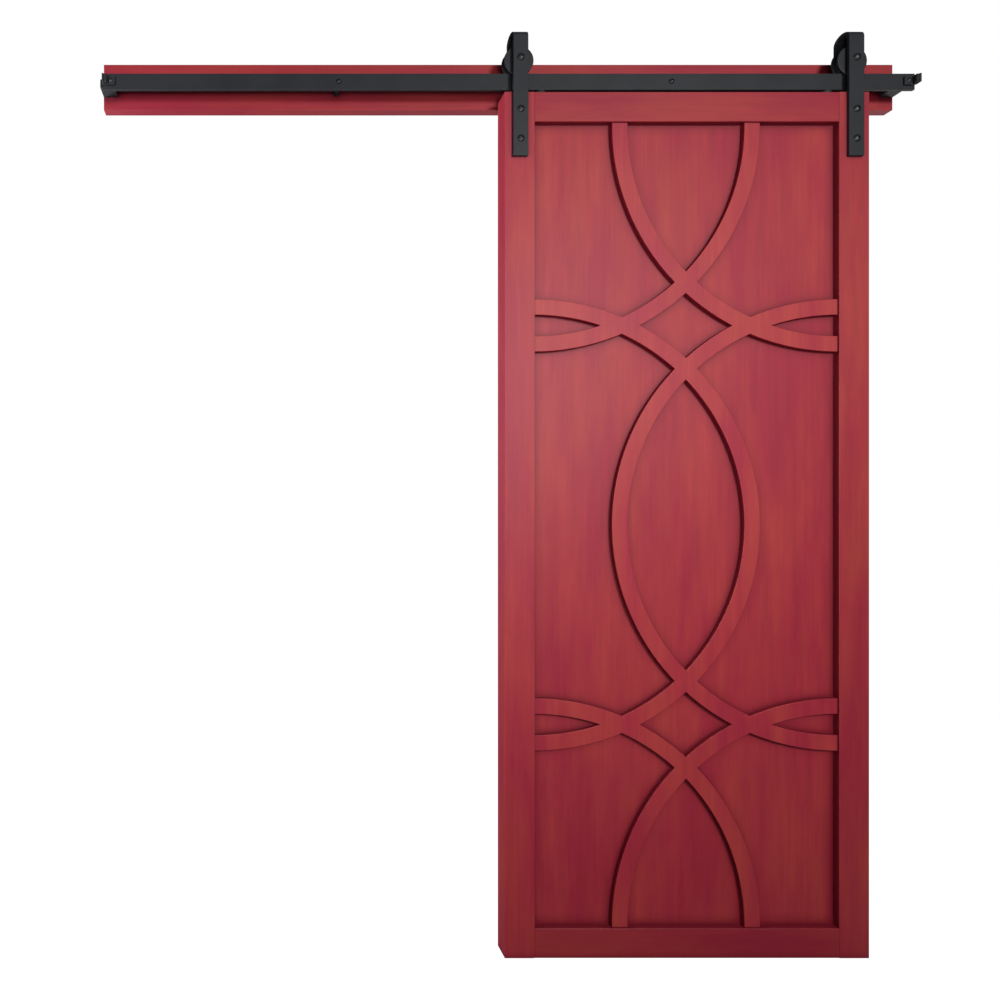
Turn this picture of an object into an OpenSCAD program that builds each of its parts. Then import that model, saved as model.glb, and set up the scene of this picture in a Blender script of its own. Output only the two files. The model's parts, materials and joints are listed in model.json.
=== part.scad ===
// Sliding barn door: a framed leaf with curved fretwork, hung from a flat steel track.
// Millimetres, +Z up. The origin is the centre of the header board's back face, which lies
// on the wall, and the front of the door looks along -Y.

/* [Door leaf] */
// Height of the leaf
door_h = 2134; // [1900:1:2400]
// Width of the leaf
door_w = 898; // [760:1:1000]
// Thickness of the stiles and rails
door_t = 38; // [34:1:44]
// Width of a stile
stile_w = 74; // [60:1:100]
// Height of the top rail and of the bottom rail
rail_w = 72.5; // [60:0.5:110]
// Thickness of the centre panel
panel_t = 12; // [9:0.5:14]
// Depth of the groove that holds the panel and the rails' tongues
groove_d = 12; // [8:1:20]
// Chamfer on the front edges of the frame's boards
edge = 0.8; // [0.5:0.1:3]
// Distance from the leaf's right edge to the right end of the rail
park = 124; // [60:1:300]

/* [Fretwork] */
// Thickness of the sheet that the fretwork is cut from
fret_t = 10.5; // [6:0.5:12]
// Depth of the fretwork's face below the face of the frame
fret_recess = 3; // [2:0.5:8]
// Width of each curved strip
strip_w = 38.5; // [25:0.5:50]
// Radius of each circle along the middle of its strip
ring_r = 538.5; // [500:0.5:570]
// How far the end circles' centres stand inside the opening's corners
ring_inset = 8.5; // [0:0.5:30]
// Least overlap of two neighbouring circles, which sets how many there are
ring_cross = 60; // [50:1:80]
// Room between the fretwork and the frame around it
fret_play = 0.3; // [0:0.1:1]

/* [Header board] */
// How much shorter than the rail the header board is
header_trim = 1; // [0:0.5:1]
// Height of the header board
header_h = 116; // [100:1:160]
// Thickness of the header board
header_t = 19; // [18:1:30]
// Diameter of the holes for the wall screws
wall_hole_d = 6; // [4:0.5:8]
// Height of those holes above the middle of the board
wall_hole_z = 14; // [10:1:30]
// Distance from the board's ends to the outer holes
wall_hole_end = 66.5; // [55:0.5:200]
// Distance between the two inner holes
wall_hole_near = 640; // [200:1:800]

/* [Track] */
// Length of the rail
track_l = 2014; // [1900:1:2400]
// Height of the rail
track_h = 40; // [36:1:46]
// Thickness of the rail
track_t = 6; // [5:0.5:6.5]
// How far the middle of the rail stands right of the middle of the header
track_x = 10; // [0:1:12]
// How far the middle of the rail lies below the middle of the header
track_drop = 15.9; // [10:0.1:20]
// Gap between the header and the rail
standoff = 32; // [32:1:40]
// Distance between the two middle fixings, which are centred on the header
mid_pitch = 826; // [600:1:1200]
// Diameter of the round spacers behind the middle fixings
spacer_d = 16; // [12:1:20]
// Length of the blocks behind the rail's ends
block_l = 36; // [34:1:60]
// Room between the wheels' flanges and the end stops and blocks below them
stop_clear = 1.2; // [1:0.1:4]
// Diameter of the track screws
screw_d = 7; // [5:0.5:8]

/* [End stops] */
// Length of a stop's plate along the rail
stop_l = 30; // [26:1:40]
// Thickness of a stop's steel
stop_t = 4.5; // [3:0.5:5]
// How far a stop reaches forward of the rail's face
stop_reach = 14; // [12:0.5:20]
// Thickness of the rubber pad on a stop
pad_t = 7.5; // [4:0.5:8]
// Room between a pad and the head of the stop's screw
head_gap = 1; // [0.5:0.5:3]

/* [Hangers] */
// Width of a strap
strap_w = 37; // [30:1:45]
// Thickness of a strap
strap_t = 6; // [4:0.5:8]
// Gap between a strap's two legs
strap_gap = 25; // [24:0.5:30]
// Height of a strap's crown above the leaf's top edge
crown_rise = 153; // [145:1:190]
// How far a strap runs down the leaf's face
strap_drop = 160; // [130:1:300]
// How far a strap's back leg runs below the axle
back_drop = 21; // [14:1:24]
// Distance from the leaf's top edge down to the upper bolt
bolt_top = 45.5; // [30:0.5:60]
// Distance between a strap's two bolts
bolt_pitch = 72.5; // [50:0.5:90]
// Diameter of the strap bolts
bolt_d = 8; // [6:1:10]
// Gap between the leaf's top edge and the rail
rail_gap = 13.2; // [12:0.1:30]

/* [Wheels] */
// Radius of the tread that rolls on the rail
tread_r = 28; // [26:0.5:40]
// Depth of the flanges beyond the tread
flange_depth = 8.5; // [5:0.5:8.5]
// Overall width of a wheel
wheel_w = 17; // [15:0.5:20]
// Room between the rail and each flange
flange_play = 1.2; // [0.8:0.1:2]
// Room between the tread and the rail
tread_play = 0.2; // [0.1:0.1:0.5]
// Diameter of the axle bolts
axle_d = 10; // [8:1:12]
// Outer diameter of the ball bearings
bearing_d = 30; // [28:1:36]
// Width of the ball bearings
bearing_w = 9; // [8:0.5:12]
// Number of balls in a bearing
ball_count = 9; // [7:1:10]

/* [Hidden] */
$fn = 96;

// Clearances, all on the radius or on one side
hole_play = 0.2;
axle_play = 0.05;
over = 1; // how far a cutting shape runs past the face it cuts

// Fasteners
screw_tip = 1.5; // wood left behind the tip of a track screw
dome_d = screw_d + 6;
dome_h = 5;
button_d = screw_d + 4;
button_h = 3;
bolt_head_d = bolt_d + 10;
bolt_head_h = 5;
washer_d = bolt_d + 10;
washer_t = 1.6;
nut_af = bolt_d + 5;
nut_h = 6.5;
axle_head_d = axle_d + 8;
axle_head_h = 5.5;
axle_nut_af = axle_d + 6;
axle_nut_h = 8;
bush_d = axle_d + 5;
thread_end = 1.5; // how far a bolt shows past its nut

// Layers from the wall outwards, as distances in front of the header's back face
rail_back = header_t + standoff;
rail_front = rail_back + track_t;
rail_mid = rail_back + track_t / 2;
leaf_front = rail_mid + strap_gap / 2;
leaf_back = leaf_front - door_t;
strap_front = leaf_front + strap_t;
strap_back = leaf_front - strap_gap - strap_t;

// Heights
track_z = -track_drop;
track_top = track_z + track_h / 2;
leaf_top = track_z - track_h / 2 - rail_gap;
leaf_bottom = leaf_top - door_h;
leaf_mid = (leaf_top + leaf_bottom) / 2;
axle_z = track_top + tread_play + tread_r;
flange_r = tread_r + flange_depth;

// Places along the track
header_l = track_l - header_trim;
track_ends = [track_x - track_l / 2, track_x + track_l / 2];
leaf_right = track_ends[1] - park;
leaf_left = leaf_right - door_w;
strap_xs = [leaf_left + stile_w / 2, leaf_right - stile_w / 2];
end_fix = stop_t + pad_t + head_gap + button_d / 2;
end_xs = [track_ends[0] + end_fix, track_ends[1] - end_fix];
mid_xs = [-mid_pitch / 2, mid_pitch / 2];
wall_hole_far = header_l - 2 * wall_hole_end;

// The opening inside the frame, the panel behind it, and the rings' rows over it
opening_w = door_w - 2 * stile_w;
opening_h = door_h - 2 * rail_w;
panel_front = leaf_front - fret_recess - fret_t;
ring_span = opening_h - 2 * ring_inset;
ring_gaps = ceil(ring_span / (2 * ring_r - ring_cross));

// End stops and the blocks behind them end below the wheels' flanges
stop_h = track_h - 2 * (flange_depth - tread_play + stop_clear);

// Anti-jump discs on the leaf's top edge
disc_play = 3.2; // room between a disc and the rail above it
disc_d = 30;
disc_h = rail_gap - disc_play;
disc_in = 57; // from a strap's middle towards the middle of the leaf
disc_screw_d = 5;
disc_screw_l = 40;
disc_head_d = disc_screw_d + 4.6;

// Bearing section
ball_ring_r = (axle_d + bearing_d) / 4;
ball_r = 2.3;
race_r = 2.6;
race_lip = 1.5; // from the balls' ring to each race's shoulder
shield_t = 0.8;
shield_play = 0.3;

WOOD = [0.62, 0.2, 0.23];
STEEL = [0.2, 0.22, 0.23];
RUBBER = [0.08, 0.08, 0.08];
BRIGHT = [0.7, 0.7, 0.72];

// A rod whose axis runs front to back, from distance y0 to y1 in front of the wall
module rod(x, z, y0, y1, d) {
  translate([x, -y0, z])
    rotate([90, 0, 0])
      cylinder(d = d, h = y1 - y0);
}

// A block between two distances in front of the wall
module slab(x0, x1, y0, y1, z0, z1) {
  translate([x0, -y1, z0])
    cube([x1 - x0, y1 - y0, z1 - z0]);
}

// A round domed head that sits on the plane y0 and rises h
module dome(x, z, y0, d, h) {
  ball = (d * d / 4 + h * h) / (2 * h);
  translate([x, -y0, z])
    intersection() {
      rotate([90, 0, 0])
        cylinder(d = d, h = h);
      translate([0, ball - h, 0])
        sphere(r = ball);
    }
}

// A hexagonal nut from distance y0 outwards to y1, bored for its bolt
module hex_nut(x, z, y0, y1, af, bore) {
  difference() {
    rod_hex(x, z, y0, y1, af);
    rod(x, z, y0 - over, y1 + over, bore);
  }
}

module rod_hex(x, z, y0, y1, af) {
  translate([x, -y0, z])
    rotate([90, 0, 0])
      cylinder(d = af / cos(30), h = y1 - y0, $fn = 6);
}

// ---- Track, fixed to the wall ----

module header_board() {
  color(WOOD)
    difference() {
      rotate([90, 0, 90])
        translate([0, 0, -header_l / 2])
          linear_extrude(height = header_l)
            polygon([
              [0, -header_h / 2],
              [-header_t + edge, -header_h / 2],
              [-header_t, -header_h / 2 + edge],
              [-header_t, header_h / 2 - edge],
              [-header_t + edge, header_h / 2],
              [0, header_h / 2]
            ]);
      for (x = concat(end_xs, mid_xs))
        rod(x, track_z, screw_tip, header_t + over, screw_d + 2 * hole_play);
      for (x = [-wall_hole_far / 2, -wall_hole_near / 2, wall_hole_near / 2, wall_hole_far / 2])
        rod(x, wall_hole_z, -over, header_t + over, wall_hole_d);
    }
}

module track_rail() {
  color(STEEL)
    difference() {
      slab(track_ends[0], track_ends[1], rail_back, rail_front,
           track_z - track_h / 2, track_z + track_h / 2);
      for (x = concat(end_xs, mid_xs))
        rod(x, track_z, rail_back - over, rail_front + over, screw_d + 2 * hole_play);
    }
}

// The blocks stand level on the header, so the shifted rail's screws pass beside their middles
module end_spacers() {
  color(STEEL)
    for (i = [0, 1]) {
      low = end_xs[i] - track_x - block_l / 2;
      difference() {
        slab(low, low + block_l, header_t, rail_back, track_z - stop_h / 2, track_z + stop_h / 2);
        rod(end_xs[i], track_z, header_t - over, rail_back + over, screw_d + 2 * hole_play);
      }
    }
}

module mid_spacers() {
  color(STEEL)
    for (x = mid_xs)
      difference() {
        rod(x, track_z, header_t, rail_back, spacer_d);
        rod(x, track_z, header_t - over, rail_back + over, screw_d + 2 * hole_play);
      }
}

module rail_screws() {
  color(STEEL)
    for (x = mid_xs) {
      rod(x, track_z, screw_tip, rail_front, screw_d);
      dome(x, track_z, rail_front, dome_d, dome_h);
    }
}

module end_screws() {
  color(STEEL)
    for (x = end_xs) {
      rod(x, track_z, screw_tip, rail_front + stop_t, screw_d);
      dome(x, track_z, rail_front + stop_t, button_d, button_h);
    }
}

// One stop's plan view: x runs inwards from the rail's end, y runs forward from the rail's face
module stop_plan() {
  difference() {
    union() {
      square([stop_l, stop_t]);
      square([stop_t, stop_reach]);
      difference() {
        square([stop_t * 1.5, stop_t * 1.5]);
        translate([stop_t * 1.5, stop_t * 1.5])
          circle(r = stop_t / 2);
      }
    }
    difference() {
      translate([-over, -over])
        square([stop_t + over, stop_t + over]);
      translate([stop_t, stop_t])
        circle(r = stop_t);
    }
  }
}

// side is 0 for the left end of the rail and 1 for the right
module end_stop(side) {
  color(STEEL)
    difference() {
      translate([track_ends[side], -rail_front, track_z - stop_h / 2])
        mirror([side, 0, 0])
          mirror([0, 1, 0])
            linear_extrude(height = stop_h)
              stop_plan();
      rod(end_xs[side], track_z, rail_front - over, rail_front + stop_t + over, screw_d + 2 * hole_play);
    }
}

module stop_bumper(side) {
  inward = side == 0 ? 1 : -1;
  face = track_ends[side] + inward * stop_t;
  low = min(face, face + inward * pad_t);
  color(RUBBER)
    slab(low, low + pad_t, rail_front + 1.5 * stop_t, rail_front + stop_reach,
         track_z - stop_h / 2 + 1, track_z + stop_h / 2 - 1);
}

// ---- The leaf ----

// Plan of a stile: its outer side at x = 0, its grooved inner side at x = stile_w
module stile_plan() {
  groove_front = leaf_front - panel_front;
  difference() {
    polygon([
      [0, 0], [0, -door_t + edge], [edge, -door_t],
      [stile_w - edge, -door_t], [stile_w, -door_t + edge], [stile_w, 0]
    ]);
    translate([stile_w - groove_d, -door_t + groove_front])
      square([groove_d + over, panel_t]);
  }
}

module stile(side) {
  color(WOOD)
    difference() {
      translate([side == 0 ? leaf_left : leaf_right, -leaf_back, leaf_bottom])
        mirror([side, 0, 0])
          linear_extrude(height = door_h)
            stile_plan();
      for (k = [0, 1])
        rod(strap_xs[side], leaf_top - bolt_top - k * bolt_pitch,
            leaf_back - over, leaf_front + over, bolt_d + 2 * hole_play);
    }
}

// Section of a rail: its outer edge at z = 0, its grooved inner edge at z = rail_w
module rail_section() {
  groove_front = leaf_front - panel_front;
  difference() {
    polygon([
      [0, 0], [0, rail_w], [-door_t + edge, rail_w], [-door_t, rail_w - edge],
      [-door_t, edge], [-door_t + edge, 0]
    ]);
    translate([-door_t + groove_front, rail_w - groove_d])
      square([panel_t, groove_d + over]);
  }
}

// end is 0 for the bottom rail and 1 for the top rail
module rail(end) {
  outer = end == 0 ? leaf_bottom : leaf_top;
  low = end == 0 ? leaf_bottom : leaf_top - rail_w + groove_d;
  color(WOOD)
    difference() {
      union() {
        translate([leaf_left + stile_w, -leaf_back, outer])
          mirror([0, 0, end])
            rotate([90, 0, 90])
              linear_extrude(height = opening_w)
                rail_section();
        for (x = [leaf_left + stile_w - groove_d, leaf_right - stile_w])
          slab(x, x + groove_d, panel_front - panel_t, panel_front, low, low + rail_w - groove_d);
      }
      if (end == 1)
        for (x = disc_xs())
          rod_up(x, leaf_top - disc_screw_l + disc_h, leaf_top + over,
                 disc_screw_d + 2 * hole_play);
    }
}

module rod_up(x, z0, z1, d) {
  translate([x, -(leaf_front + leaf_back) / 2, z0])
    cylinder(d = d, h = z1 - z0);
}

function disc_xs() = [strap_xs[0] + disc_in, strap_xs[1] - disc_in];

module centre_panel() {
  color(WOOD)
    slab(leaf_left + stile_w - groove_d, leaf_right - stile_w + groove_d,
         panel_front - panel_t, panel_front,
         leaf_bottom + rail_w - groove_d, leaf_top - rail_w + groove_d);
}

// Rings of one radius, centred on the opening's two sides in rows from end to end
module fretwork() {
  color(WOOD)
    intersection() {
      slab(leaf_left + stile_w + fret_play, leaf_right - stile_w - fret_play,
           panel_front, panel_front + fret_t,
           leaf_bottom + rail_w + fret_play, leaf_top - rail_w - fret_play);
      union()
        for (x = [leaf_left + stile_w, leaf_right - stile_w], k = [0 : ring_gaps]) {
          z = leaf_mid + (k / ring_gaps - 1 / 2) * ring_span;
          difference() {
            rod(x, z, panel_front - over, panel_front + fret_t + over, 2 * ring_r + strip_w);
            rod(x, z, panel_front - 2 * over, panel_front + fret_t + 2 * over, 2 * ring_r - strip_w);
          }
        }
    }
}

// ---- Hangers ----

module hanger_strap(side) {
  x = strap_xs[side];
  bend_r = strap_gap / 2 + strap_t;
  bend_z = leaf_top + crown_rise - bend_r;
  x0 = x - strap_w / 2;
  x1 = x + strap_w / 2;
  color(STEEL)
    difference() {
      union() {
        slab(x0, x1, leaf_front, strap_front, leaf_top - strap_drop, bend_z);
        slab(x0, x1, strap_back, strap_back + strap_t, axle_z - back_drop, bend_z);
        intersection() {
          slab(x0, x1, strap_back, strap_front, bend_z, bend_z + bend_r);
          translate([x0, -rail_mid, bend_z])
            rotate([0, 90, 0])
              difference() {
                cylinder(r = bend_r, h = strap_w);
                translate([0, 0, -over])
                  cylinder(r = strap_gap / 2, h = strap_w + 2 * over);
              }
        }
      }
      rod(x, axle_z, strap_back - over, strap_front + over, axle_d + 2 * hole_play);
      for (k = [0, 1])
        rod(x, leaf_top - bolt_top - k * bolt_pitch, leaf_front - over, strap_front + over,
            bolt_d + 2 * hole_play);
    }
}

// Every strap bolt's place: x and height
function bolt_places() = [
  for (x = strap_xs, k = [0, 1]) [x, leaf_top - bolt_top - k * bolt_pitch]
];

module strap_bolts() {
  color(STEEL)
    for (p = bolt_places()) {
      rod(p[0], p[1], leaf_back - washer_t - nut_h - thread_end, strap_front, bolt_d);
      dome(p[0], p[1], strap_front, bolt_head_d, bolt_head_h);
    }
}

module strap_washers() {
  color(STEEL)
    for (p = bolt_places())
      difference() {
        rod(p[0], p[1], leaf_back - washer_t, leaf_back, washer_d);
        rod(p[0], p[1], leaf_back - washer_t - over, leaf_back + over, bolt_d + 2 * hole_play);
      }
}

module strap_nuts() {
  color(STEEL)
    for (p = bolt_places())
      hex_nut(p[0], p[1], leaf_back - washer_t - nut_h, leaf_back - washer_t, nut_af,
              bolt_d + 2 * axle_play);
}

module axle_bolt(side) {
  x = strap_xs[side];
  color(STEEL)
    union() {
      rod(x, axle_z, strap_back - axle_nut_h - thread_end, strap_front, axle_d);
      dome(x, axle_z, strap_front, axle_head_d, axle_head_h);
    }
}

module axle_nuts() {
  color(STEEL)
    for (x = strap_xs)
      hex_nut(x, axle_z, strap_back - axle_nut_h, strap_back, axle_nut_af, axle_d + 2 * axle_play);
}

// A tube between two distances in front of the wall
module tube(x, y0, y1, outer_d, inner_d) {
  difference() {
    rod(x, axle_z, y0, y1, outer_d);
    rod(x, axle_z, y0 - over, y1 + over, inner_d);
  }
}

module axle_bushes(side) {
  bore = axle_d + 2 * axle_play;
  color(STEEL) {
    tube(strap_xs[side], rail_mid - strap_gap / 2, rail_mid - bearing_w / 2, bush_d, bore);
    tube(strap_xs[side], rail_mid + bearing_w / 2, rail_mid + strap_gap / 2, bush_d, bore);
  }
}

// The ring that the balls' races are cut from
module race_cut(x) {
  translate([x, -rail_mid, axle_z])
    rotate([90, 0, 0])
      rotate_extrude()
        translate([ball_ring_r, 0])
          circle(r = race_r);
}

module bearing_inner(side) {
  x = strap_xs[side];
  color(BRIGHT)
    difference() {
      tube(x, rail_mid - bearing_w / 2, rail_mid + bearing_w / 2,
           2 * (ball_ring_r - race_lip), axle_d + 2 * axle_play);
      race_cut(x);
    }
}

module bearing_outer(side) {
  x = strap_xs[side];
  color(BRIGHT)
    difference() {
      tube(x, rail_mid - bearing_w / 2, rail_mid + bearing_w / 2,
           bearing_d, 2 * (ball_ring_r + race_lip));
      race_cut(x);
    }
}

module bearing_balls(side) {
  color(BRIGHT)
    translate([strap_xs[side], -rail_mid, axle_z])
      for (k = [0 : ball_count - 1])
        rotate([0, k * 360 / ball_count, 0])
          translate([ball_ring_r, 0, 0])
            sphere(r = ball_r);
}

module bearing_shields(side) {
  outer_d = 2 * (ball_ring_r + race_lip);
  inner_d = 2 * (ball_ring_r - race_lip + shield_play);
  far = rail_mid + bearing_w / 2;
  near = rail_mid - bearing_w / 2;
  color(BRIGHT) {
    tube(strap_xs[side], near, near + shield_t, outer_d, inner_d);
    tube(strap_xs[side], far - shield_t, far, outer_d, inner_d);
  }
}

// The bearing goes in from the back as far as the shoulder, which the front bush passes through
module wheel(side) {
  x = strap_xs[side];
  groove = track_t + 2 * flange_play;
  shoulder_d = bearing_d - 4;
  back = rail_mid - wheel_w / 2;
  front = rail_mid + wheel_w / 2;
  color(STEEL)
    difference() {
      rod(x, axle_z, back, front, 2 * flange_r);
      difference() {
        rod(x, axle_z, rail_mid - groove / 2, rail_mid + groove / 2, 2 * flange_r + 2 * over);
        rod(x, axle_z, back, front, 2 * tread_r);
      }
      rod(x, axle_z, back - over, rail_mid + bearing_w / 2, bearing_d);
      rod(x, axle_z, back, front + over, shoulder_d);
    }
}

// ---- Anti-jump discs ----

module anti_jump_discs() {
  color(RUBBER)
    for (x = disc_xs())
      difference() {
        rod_up(x, leaf_top, leaf_top + disc_h, disc_d);
        rod_up(x, leaf_top - over, leaf_top + disc_h + over, disc_screw_d + 2 * hole_play);
        translate([x, -(leaf_front + leaf_back) / 2, leaf_top + disc_h - disc_head_d / 2])
          cylinder(d1 = 0, d2 = disc_head_d + 4 * hole_play, h = disc_head_d / 2 + 2 * hole_play);
      }
}

module anti_jump_screws() {
  sink = (disc_head_d - disc_screw_d) / 2;
  color(STEEL)
    for (x = disc_xs()) {
      rod_up(x, leaf_top + disc_h - disc_screw_l, leaf_top + disc_h - sink, disc_screw_d);
      translate([x, -(leaf_front + leaf_back) / 2, leaf_top + disc_h - sink])
        cylinder(d1 = disc_screw_d, d2 = disc_head_d, h = sink);
    }
}

header_board();
track_rail();
end_spacers();
mid_spacers();
rail_screws();
end_screws();
end_stop(0);  // end_stop_left
end_stop(1);  // end_stop_right
stop_bumper(0);  // stop_bumper_left
stop_bumper(1);  // stop_bumper_right
stile(0);  // left_stile
stile(1);  // right_stile
rail(1);  // top_rail
rail(0);  // bottom_rail
centre_panel();
fretwork();
hanger_strap(0);  // hanger_strap_left
hanger_strap(1);  // hanger_strap_right
strap_bolts();
strap_washers();
strap_nuts();
axle_bolt(0);  // axle_bolt_left
axle_bolt(1);  // axle_bolt_right
axle_nuts();
axle_bushes(0);  // axle_bushes_left
axle_bushes(1);  // axle_bushes_right
bearing_inner(0);  // bearing_inner_left
bearing_inner(1);  // bearing_inner_right
anti_jump_discs();
anti_jump_screws();
wheel(0);  // wheel_left
wheel(1);  // wheel_right
bearing_outer(0);  // bearing_outer_left
bearing_outer(1);  // bearing_outer_right
bearing_balls(0);  // bearing_balls_left
bearing_balls(1);  // bearing_balls_right
bearing_shields(0);  // bearing_shields_left
bearing_shields(1);  // bearing_shields_right
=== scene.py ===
# %% [markdown]
# # A sliding barn door, dressed for its portrait
#
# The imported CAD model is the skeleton: it says where every board, strap, wheel and screw is.
# This lesson gives each of them the surface it has on the real door. Every piece is worked out
# in metres in the same frame, so nothing has to be fitted: +Z is up, +X runs along the track to
# the right, and the front of the door looks along -Y.

# %% Load the frame
import json
import math

import bmesh
import bpy
import numpy as np
from mathutils.geometry import tessellate_polygon
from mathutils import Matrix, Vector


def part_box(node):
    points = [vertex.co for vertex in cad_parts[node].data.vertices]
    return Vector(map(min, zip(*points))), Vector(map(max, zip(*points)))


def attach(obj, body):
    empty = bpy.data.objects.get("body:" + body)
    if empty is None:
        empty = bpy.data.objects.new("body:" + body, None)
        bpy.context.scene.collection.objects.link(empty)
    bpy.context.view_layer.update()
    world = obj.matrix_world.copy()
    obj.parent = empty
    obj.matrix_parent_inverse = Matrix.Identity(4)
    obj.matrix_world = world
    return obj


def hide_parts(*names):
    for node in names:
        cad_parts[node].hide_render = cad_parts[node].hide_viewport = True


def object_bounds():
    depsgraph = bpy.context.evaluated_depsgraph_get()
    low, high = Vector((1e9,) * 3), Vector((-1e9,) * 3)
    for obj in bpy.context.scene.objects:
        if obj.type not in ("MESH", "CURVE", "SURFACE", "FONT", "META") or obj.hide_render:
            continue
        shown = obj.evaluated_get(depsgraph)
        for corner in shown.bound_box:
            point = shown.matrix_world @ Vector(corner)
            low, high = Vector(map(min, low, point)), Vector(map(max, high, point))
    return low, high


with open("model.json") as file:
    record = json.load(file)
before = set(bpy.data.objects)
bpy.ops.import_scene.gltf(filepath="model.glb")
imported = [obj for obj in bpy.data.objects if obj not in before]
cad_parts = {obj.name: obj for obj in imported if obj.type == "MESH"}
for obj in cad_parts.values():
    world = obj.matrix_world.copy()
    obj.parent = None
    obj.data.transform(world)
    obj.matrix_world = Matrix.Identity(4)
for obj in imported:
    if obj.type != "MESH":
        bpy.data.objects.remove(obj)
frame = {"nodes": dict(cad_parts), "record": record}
nodes = frame["nodes"]
cad_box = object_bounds()
MM = 0.001
print("nodes:", len(nodes))

# %% [markdown]
# ## The camera
#
# The door is seen from about 1.1 m above the floor and from left of the leaf, with the lens dead
# level so that upright boards stay upright. A level camera that still frames a door to its
# right needs a shifted lens, as an architect's camera has. Turning the camera instead would
# make the header run downhill.

# %% Camera
SENSOR = 36.0
LENS = 19.0
LENS_SHIFT = (0.24, 0.008)
CAMERA_PLACE = (-0.608, -1.3665, -1.0741)
camera_data = bpy.data.cameras.new("camera")
camera_data.sensor_width = SENSOR
camera_data.lens = LENS
camera_data.shift_x, camera_data.shift_y = LENS_SHIFT
camera = bpy.data.objects.new("camera", camera_data)
camera.location = CAMERA_PLACE
camera.rotation_euler = (math.radians(90), 0, 0)
scene = bpy.context.scene
scene.collection.objects.link(camera)
scene.camera = camera
scene.view_settings.view_transform = "Standard"
print("camera at", tuple(round(v, 3) for v in camera.location))

# %% [markdown]
# ## The studio
#
# A pale room: the world is white to the camera but lights the door only gently, so the soft
# lamps shape it. The floor lies just below the leaf. It gives off a little light of its own,
# seen by the camera alone, so that it melts into the background as a studio sweep does.


# %% World and floor
def node_tree(owner):
    """An owner's empty node tree."""
    owner.use_nodes = True
    owner.node_tree.nodes.clear()
    return owner.node_tree


AMBIENT = 0.01
world = bpy.data.worlds.new("studio")
scene.world = world
tree = node_tree(world)
seen = tree.nodes.new("ShaderNodeLightPath")
level = tree.nodes.new("ShaderNodeMapRange")
level.inputs["To Min"].default_value = AMBIENT
level.inputs["To Max"].default_value = 1.0
sky = tree.nodes.new("ShaderNodeBackground")
sky.inputs["Color"].default_value = (1, 1, 1, 1)
out = tree.nodes.new("ShaderNodeOutputWorld")
tree.links.new(seen.outputs["Is Camera Ray"], level.inputs["Value"])
tree.links.new(level.outputs["Result"], sky.inputs["Strength"])
tree.links.new(sky.outputs["Background"], out.inputs["Surface"])

FLOOR_GAP = 12 * MM
FLOOR_HALF = 9.0
FLOOR_GREY = 0.12
floor_mesh = bpy.data.meshes.new("floor")
floor_z = cad_box[0][2] - FLOOR_GAP
floor_plan = np.array([(-1, -1), (1, -1), (1, 1), (-1, 1)]) * FLOOR_HALF
floor_mesh.from_pydata(np.c_[floor_plan, np.full(4, floor_z)].tolist(), [], [(0, 1, 2, 3)])
floor = bpy.data.objects.new("floor", floor_mesh)
scene.collection.objects.link(floor)
paint = bpy.data.materials.new("floor_paint")
tree = node_tree(paint)
seen = tree.nodes.new("ShaderNodeLightPath")
matt = tree.nodes.new("ShaderNodeBsdfDiffuse")
matt.inputs["Color"].default_value = (FLOOR_GREY, FLOOR_GREY, FLOOR_GREY, 1)
glow = tree.nodes.new("ShaderNodeEmission")
both = tree.nodes.new("ShaderNodeAddShader")
out = tree.nodes.new("ShaderNodeOutputMaterial")
tree.links.new(seen.outputs["Is Camera Ray"], glow.inputs["Strength"])
tree.links.new(matt.outputs["BSDF"], both.inputs[0])
tree.links.new(glow.outputs["Emission"], both.inputs[1])
tree.links.new(both.outputs["Shader"], out.inputs["Surface"])
floor_mesh.materials.append(paint)
print("floor at z =", round(floor_z, 3))

# %% [markdown]
# ## The lamps
#
# The key lamp stands in front and to the right, a little above the track. It gives the thin
# shadows on the left of each fretwork strip, and the leaf grows darker towards the floor, away
# from it. Two weaker lamps fill in from nearer, and a small one reaches the header's left end.
# The rest stand behind the leaf's plane, so they never touch its front: a cool rim lamp for the
# outer left side, one for the right side, and one for the back.


# %% Lamps
def soft_lamp(name, place, aim, size, power, colour=(1, 1, 1), spread=180):
    """A rectangular area lamp at a place, turned to face a point, with its size in metres and
    its power in watts. A grid over the lamp narrows its spread, in degrees."""
    data = bpy.data.lights.new(name, "AREA")
    data.shape = "RECTANGLE"
    data.size, data.size_y = size
    data.spread = math.radians(spread)
    data.energy = power
    data.color = colour
    lamp = bpy.data.objects.new(name, data)
    lamp.location = place
    turn = (np.array(aim) - np.array(place)).tolist()
    lamp.visible_camera = False
    lamp.rotation_euler = Vector(turn).to_track_quat("-Z", "Y").to_euler()
    scene.collection.objects.link(lamp)
    return lamp


LAMPS = [
    ("key", (1.1, -2.7, 0.12), (0.45, 0, -0.85), (0.7, 0.7), 49, (1.0, 0.98, 0.95)),
    ("near_right", (0.85, -1.5, -0.6), (0.75, 0, -0.8), (0.5, 0.5), 2.6, (1.0, 0.98, 0.95)),
    ("fill", (-0.2, -1.5, -0.95), (0.1, 0, -1.05), (0.6, 0.6), 12, (1.0, 0.97, 0.93)),
    ("header_left", (-1.4, -0.8, -0.25), (-0.9, 0, 0), (0.5, 0.5), 3.0, (1.0, 0.98, 0.97), 120),
    ("rim", (-2.0, 0.45, -0.75), (0, 0, -0.95), (0.5, 1.2), 43, (0.95, 0.95, 1.0)),
    ("right_side", (2.8, 0.6, -0.9), (0.8, 0, -0.9), (0.5, 1.4), 22, (1.0, 0.98, 0.96)),
    ("behind", (0.8, 1.6, -0.9), (0.4, 0, -1.0), (2.4, 1.6), 12, (0.96, 0.97, 1.0)),
]
for lamp in LAMPS:
    soft_lamp(*lamp)
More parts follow.
